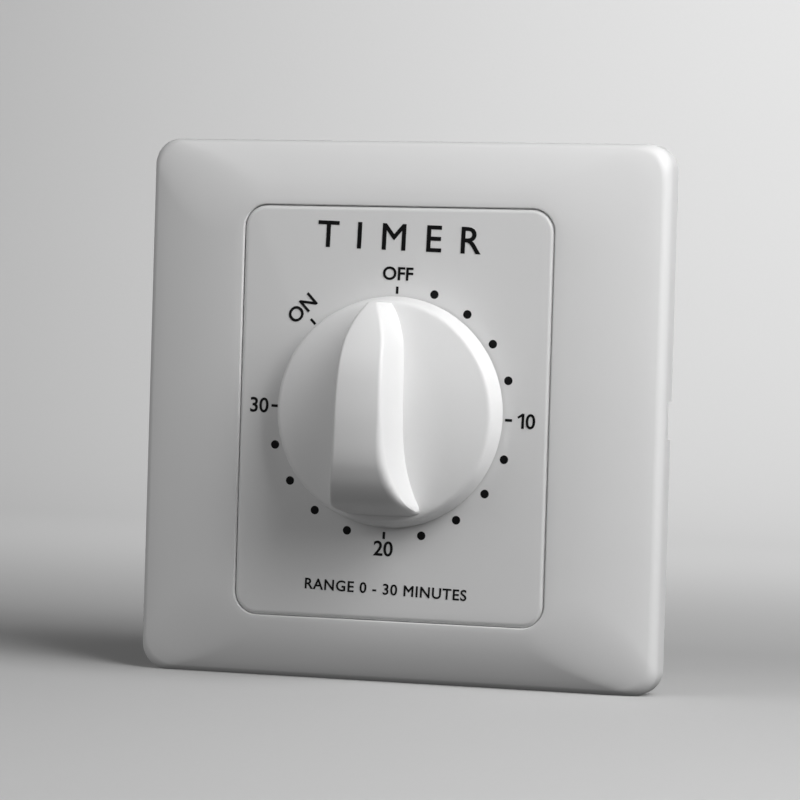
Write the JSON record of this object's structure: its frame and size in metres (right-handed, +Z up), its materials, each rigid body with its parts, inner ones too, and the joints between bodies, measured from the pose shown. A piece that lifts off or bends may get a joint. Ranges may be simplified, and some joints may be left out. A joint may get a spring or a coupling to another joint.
{
  "type": "mechanical timer switch",
  "caption": "Square wall-plate timer switch with a rotary pointer knob, a wound spring movement, and a cam-worked contact in a rear housing.",
  "frame": {"origin": "on the wall's face, midway between the two wall screw slots, which is also the knob's axis", "axes": "+X to the right and +Z up as seen from the room, +Y into the wall"},
  "size_m": [0.086, 0.0579, 0.086],
  "materials": {
    "cover_plastic": "satin",
    "panel_plastic": "satin",
    "knob_plastic": "satin",
    "frame_plastic": "fine grain",
    "housing_plastic": "fine grain",
    "base_plastic": "fine grain",
    "zinc_steel": "zinc plated",
    "plate_steel": "rolled",
    "turned_steel": "turned",
    "spring_steel": "blued",
    "wheel_brass": "stamped",
    "cam_plastic": "moulded",
    "contact_brass": "bent strip",
    "leaf_bronze": "rolled strip",
    "contact_silver": "dull"
  },
  "bodies": {
    "housing": {"cover_plate": "cover_plastic", "centre_panel": "panel_plastic", "mounting_frame": "frame_plastic", "rear_housing": "housing_plastic", "contact_base": "base_plastic", "housing_screws": "zinc_steel", "panel_screws": "zinc_steel", "movement_screws": "zinc_steel", "pillar_screws": "zinc_steel", "back_cover_screws": "zinc_steel", "terminal_screws": "zinc_steel", "terminal_washers": "zinc_steel", "front_movement_plate": "plate_steel", "rear_movement_plate": "plate_steel", "plate_pillars": "turned_steel", "spring_post": "turned_steel", "stop_pin": "turned_steel", "mainspring": "spring_steel", "front_arbor_bush": "wheel_brass", "rear_arbor_bush": "wheel_brass", "line_terminal": "contact_brass", "load_terminal": "contact_brass", "leaf_rivets": "contact_brass", "moving_contact_leaf": "leaf_bronze", "fixed_contact_leaf": "leaf_bronze", "moving_contact": "contact_silver", "fixed_contact": "contact_silver"},
    "knob_assembly": {"knob": "knob_plastic", "knob_spring_clip": "spring_steel", "main_arbor": "turned_steel", "spring_collar": "wheel_brass", "great_wheel": "wheel_brass", "great_wheel_hub": "wheel_brass", "arbor_spacer": "wheel_brass", "arbor_retaining_ring": "spring_steel", "switch_cam": "cam_plastic", "stop_disc": "plate_steel"},
    "intermediate_assembly": {"intermediate_arbor": "turned_steel", "clutch_spring": "spring_steel", "clutch_collar": "wheel_brass"},
    "second_wheel_assembly": {"second_wheel": "wheel_brass"},
    "third_assembly": {"third_arbor": "turned_steel", "third_wheel": "wheel_brass"},
    "escape_assembly": {"escape_arbor": "turned_steel", "escape_wheel": "wheel_brass"},
    "pallet_assembly": {"pallet_arbor": "turned_steel", "pallet_lever": "wheel_brass", "pallet_pins": "turned_steel", "balance_bar": "wheel_brass", "balance_weights": "turned_steel"}
  },
  "joints": [
    {"name": "knob_turn", "type": "hinge", "parent": "housing", "child": "knob_assembly", "pos_m": [0, 0, 0], "axis": [0, 1, 0], "range_deg": [-45, 270], "deforming": ["mainspring", "moving_contact_leaf", "moving_contact"]},
    {"name": "intermediate_arbor_turn", "type": "hinge", "parent": "housing", "child": "intermediate_assembly", "pos_m": [-0.01039, 0, -0.01039], "axis": [0, 1, 0], "range_deg": [-1620, 270]},
    {"name": "second_wheel_turn", "type": "hinge", "parent": "housing", "child": "second_wheel_assembly", "pos_m": [-0.01039, 0, -0.01039], "axis": [0, 1, 0], "continuous": true},
    {"name": "third_arbor_turn", "type": "hinge", "parent": "housing", "child": "third_assembly", "pos_m": [0.00008, 0, -0.01528], "axis": [0, 1, 0], "continuous": true},
    {"name": "escape_arbor_turn", "type": "hinge", "parent": "housing", "child": "escape_assembly", "pos_m": [0.00936, 0, -0.0128], "axis": [0, 1, 0], "continuous": true},
    {"name": "pallet_swing", "type": "hinge", "parent": "housing", "child": "pallet_assembly", "pos_m": [0.01559, 0, -0.0092], "axis": [0, 1, 0], "range_deg": [-8, 8]}
  ],
  "couplings": [
    {"joint": "intermediate_arbor_turn", "follows": "knob_turn", "ratio": -6},
    {"joint": "third_arbor_turn", "follows": "second_wheel_turn", "ratio": -7.5},
    {"joint": "escape_arbor_turn", "follows": "second_wheel_turn", "ratio": 52.5}
  ]
}
